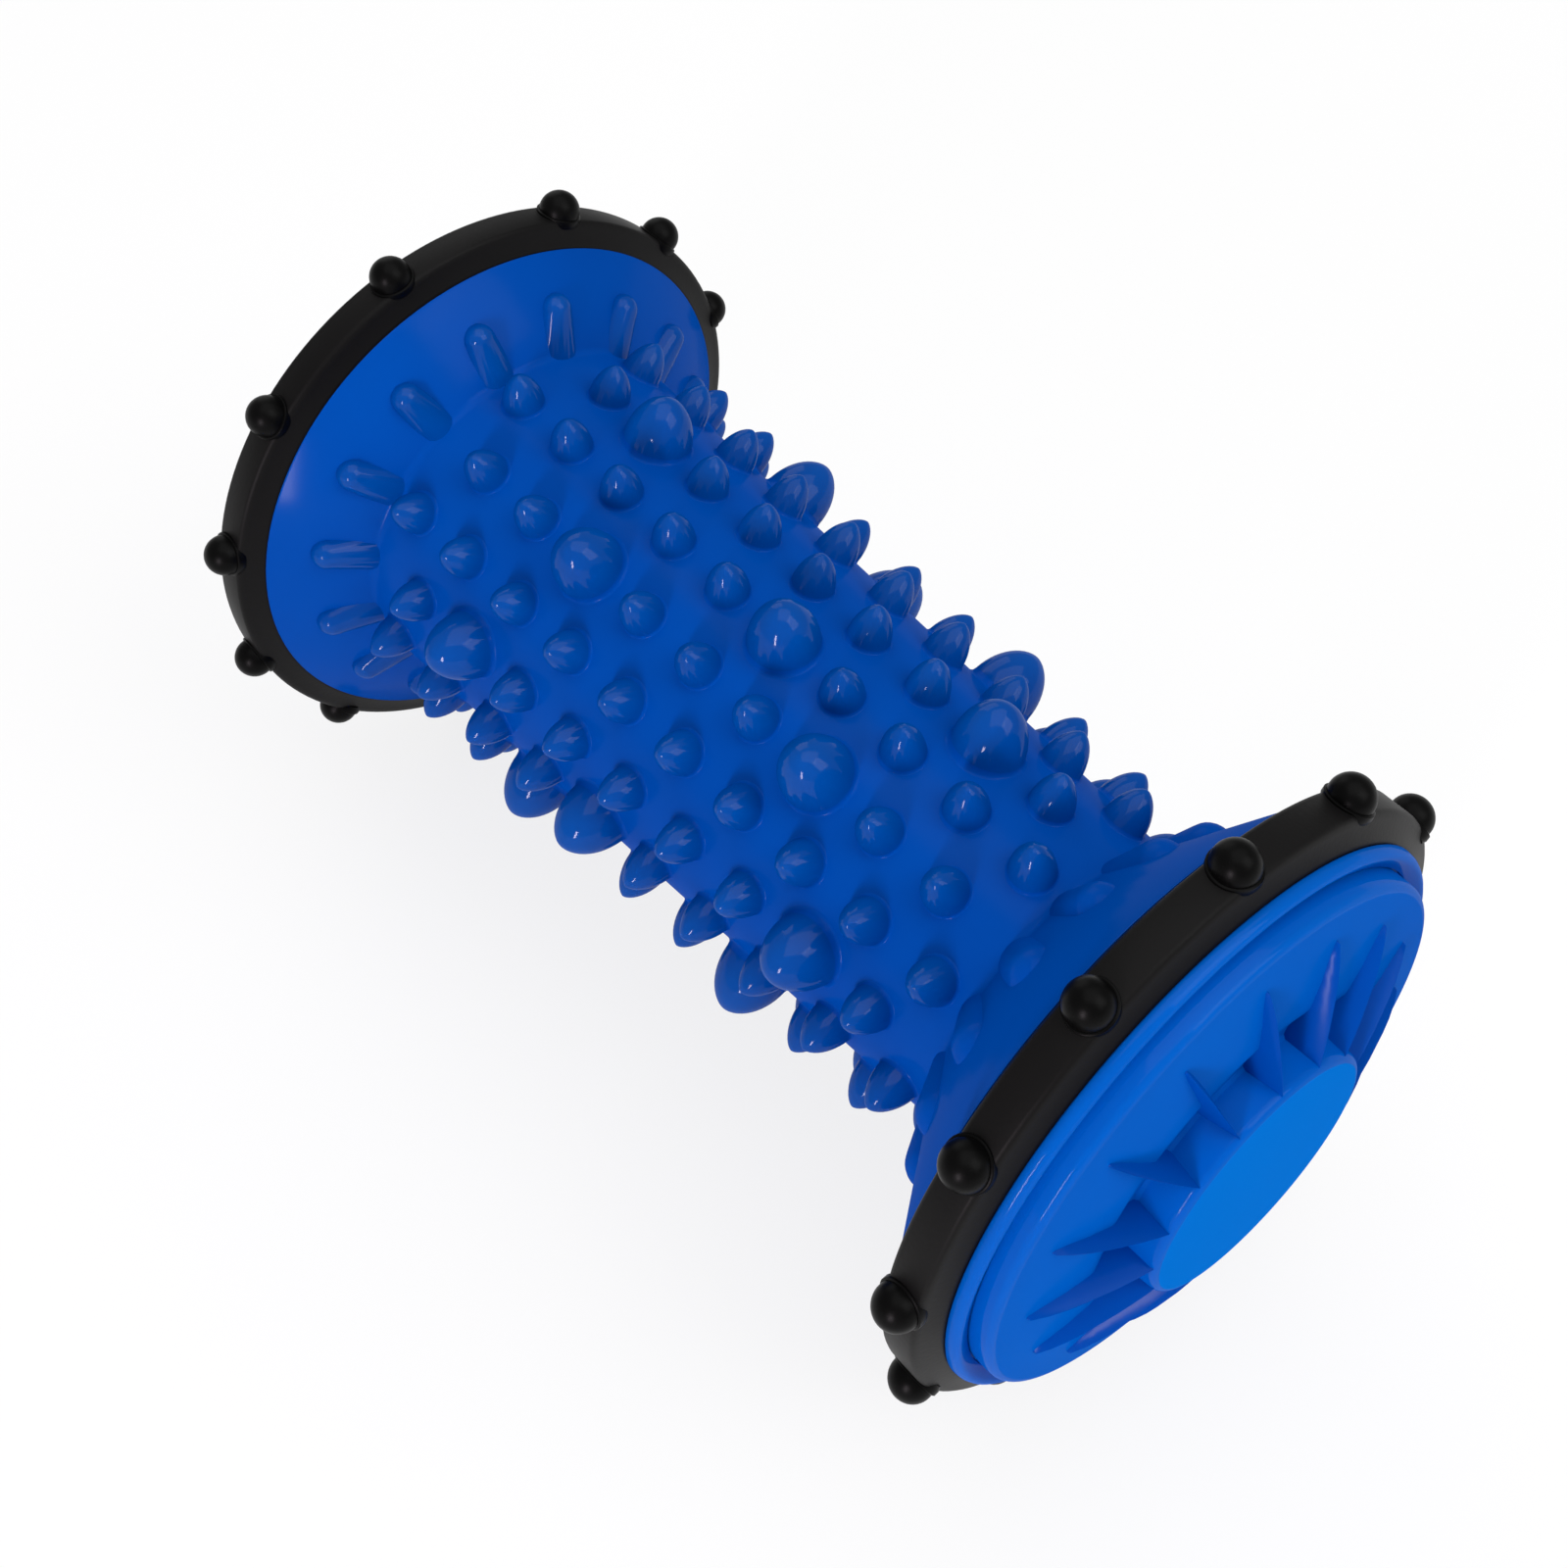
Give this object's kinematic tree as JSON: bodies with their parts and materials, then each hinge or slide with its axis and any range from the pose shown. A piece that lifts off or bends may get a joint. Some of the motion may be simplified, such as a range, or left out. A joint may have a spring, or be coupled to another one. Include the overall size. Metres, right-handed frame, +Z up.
{
  "type": "foot massage roller",
  "caption": "Waisted hollow foot roller with a nubbed tapering barrel between flared flanges, a ribbed domed cap at each end and a ball-studded rubber ring round each rim.",
  "frame": {"origin": "on the floor, under the middle of the roller as it lies on its rings", "axes": "+X along the roller towards the thin end of its barrel, +Y across the floor, +Z up"},
  "size_m": [0.162, 0.0903, 0.0906],
  "materials": {
    "body_pvc": "glossy royal blue, semi-soft vinyl",
    "cap_pvc": "glossy royal blue, semi-soft vinyl",
    "ring_rubber": "matt black rubber"
  },
  "bodies": {
    "root": {"body": "body_pvc", "front_cap": "cap_pvc", "rear_cap": "cap_pvc", "front_ring": "ring_rubber", "rear_ring": "ring_rubber"}
  },
  "joints": []
}
